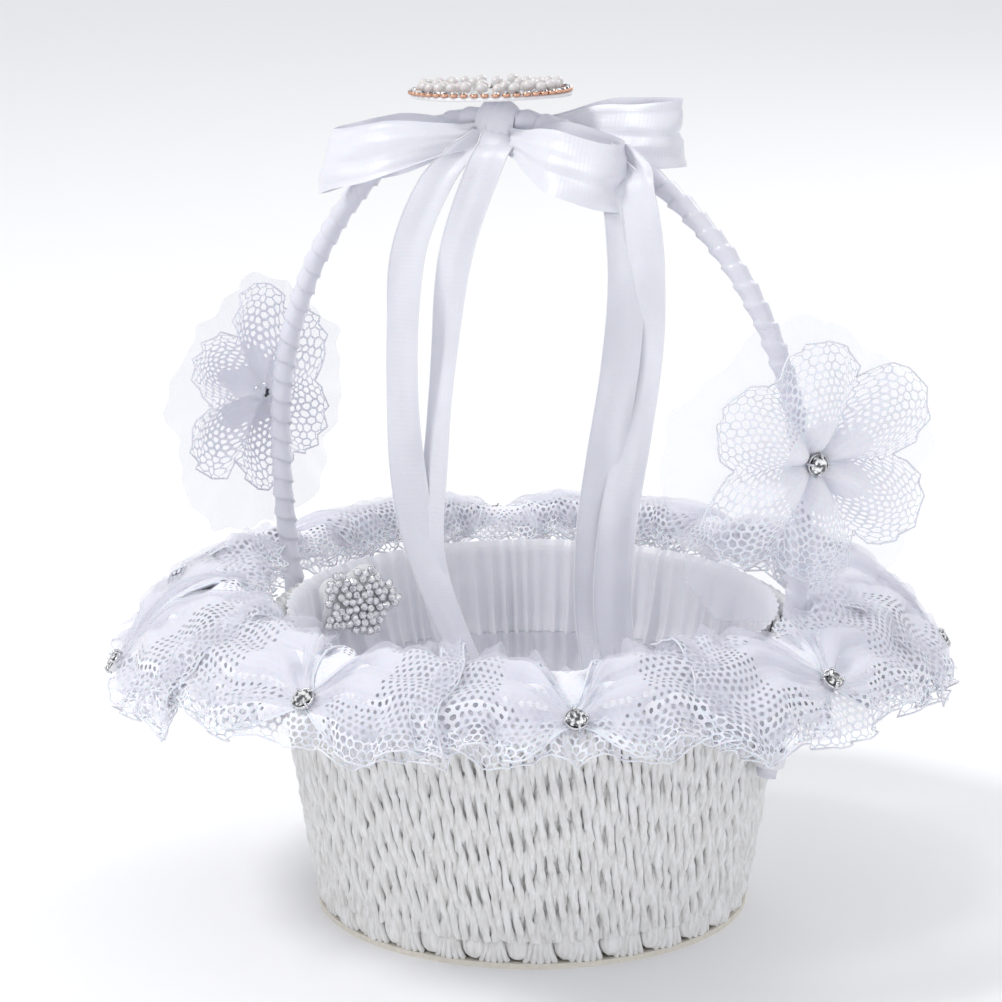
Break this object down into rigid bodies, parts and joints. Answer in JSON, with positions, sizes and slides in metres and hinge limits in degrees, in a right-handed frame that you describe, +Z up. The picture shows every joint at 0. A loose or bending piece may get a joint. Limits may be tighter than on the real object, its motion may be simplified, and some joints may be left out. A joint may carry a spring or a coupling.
{
  "type": "flower girl basket",
  "caption": "Small round wedding basket of twisted paper rope with a satin-wrapped arched handle, satin lining, lace bows round the rim and a ribbon bow on top, for carrying petals.",
  "frame": {"origin": "centre of the round base, on the surface it stands on", "axes": "+Z up, X along the handle's span, -Y the front"},
  "size_m": [0.2564, 0.2564, 0.2503],
  "materials": {
    "lace": "matt openwork net lace",
    "organza": "sheer organza",
    "satin_ribbon": "satin",
    "wrap_satin": "satin",
    "lining_satin": "satin",
    "elastic": "covered elastic",
    "base_card": "matt",
    "paper_rope": "matt twisted paper rope",
    "frame_wire": "white coated",
    "thread": "matt thread",
    "setting_metal": "polished claw settings",
    "stone_glass": "faceted",
    "applique_glass": "faceted",
    "felt": "felt",
    "rose_gold": "rose gold plated",
    "pearl": "pearl lustre"
  },
  "bodies": {
    "root": {"applique_backing": "felt", "applique_stones": "applique_glass", "base_board": "base_card", "bow_knot": "satin_ribbon", "bow_loop_left": "satin_ribbon", "bow_loop_right_back": "satin_ribbon", "bow_loop_right_front": "satin_ribbon", "brooch_chain": "rose_gold", "brooch_felt": "felt", "brooch_pearls": "pearl", "brooch_stones": "stone_glass", "floor_cushion": "lining_satin", "flower_lace_left": "lace", "flower_lace_right": "lace", "flower_organza_left": "organza", "flower_organza_right": "organza", "foot_bindings": "thread", "foot_border": "paper_rope", "gather_elastic": "elastic", "handle_core": "frame_wire", "handle_wrap": "wrap_satin", "lining_band": "lining_satin", "lining_cup": "lining_satin", "rim_braid": "paper_rope", "rim_lace_1": "lace", "rim_lace_2": "lace", "rim_lace_3": "lace", "rim_lace_4": "lace", "rim_lace_5": "lace", "rim_lace_6": "lace", "rim_lace_7": "lace", "rim_lace_8": "lace", "rim_organza_1": "organza", "rim_organza_2": "organza", "rim_organza_3": "organza", "rim_organza_4": "organza", "rim_organza_5": "organza", "rim_organza_6": "organza", "rim_organza_7": "organza", "rim_organza_8": "organza", "stone_settings": "setting_metal", "stones": "stone_glass", "streamer_1": "satin_ribbon", "streamer_2": "satin_ribbon", "streamer_3": "satin_ribbon", "streamer_4": "satin_ribbon", "wire_frame": "frame_wire", "woven_wall": "paper_rope"}
  },
  "joints": []
}
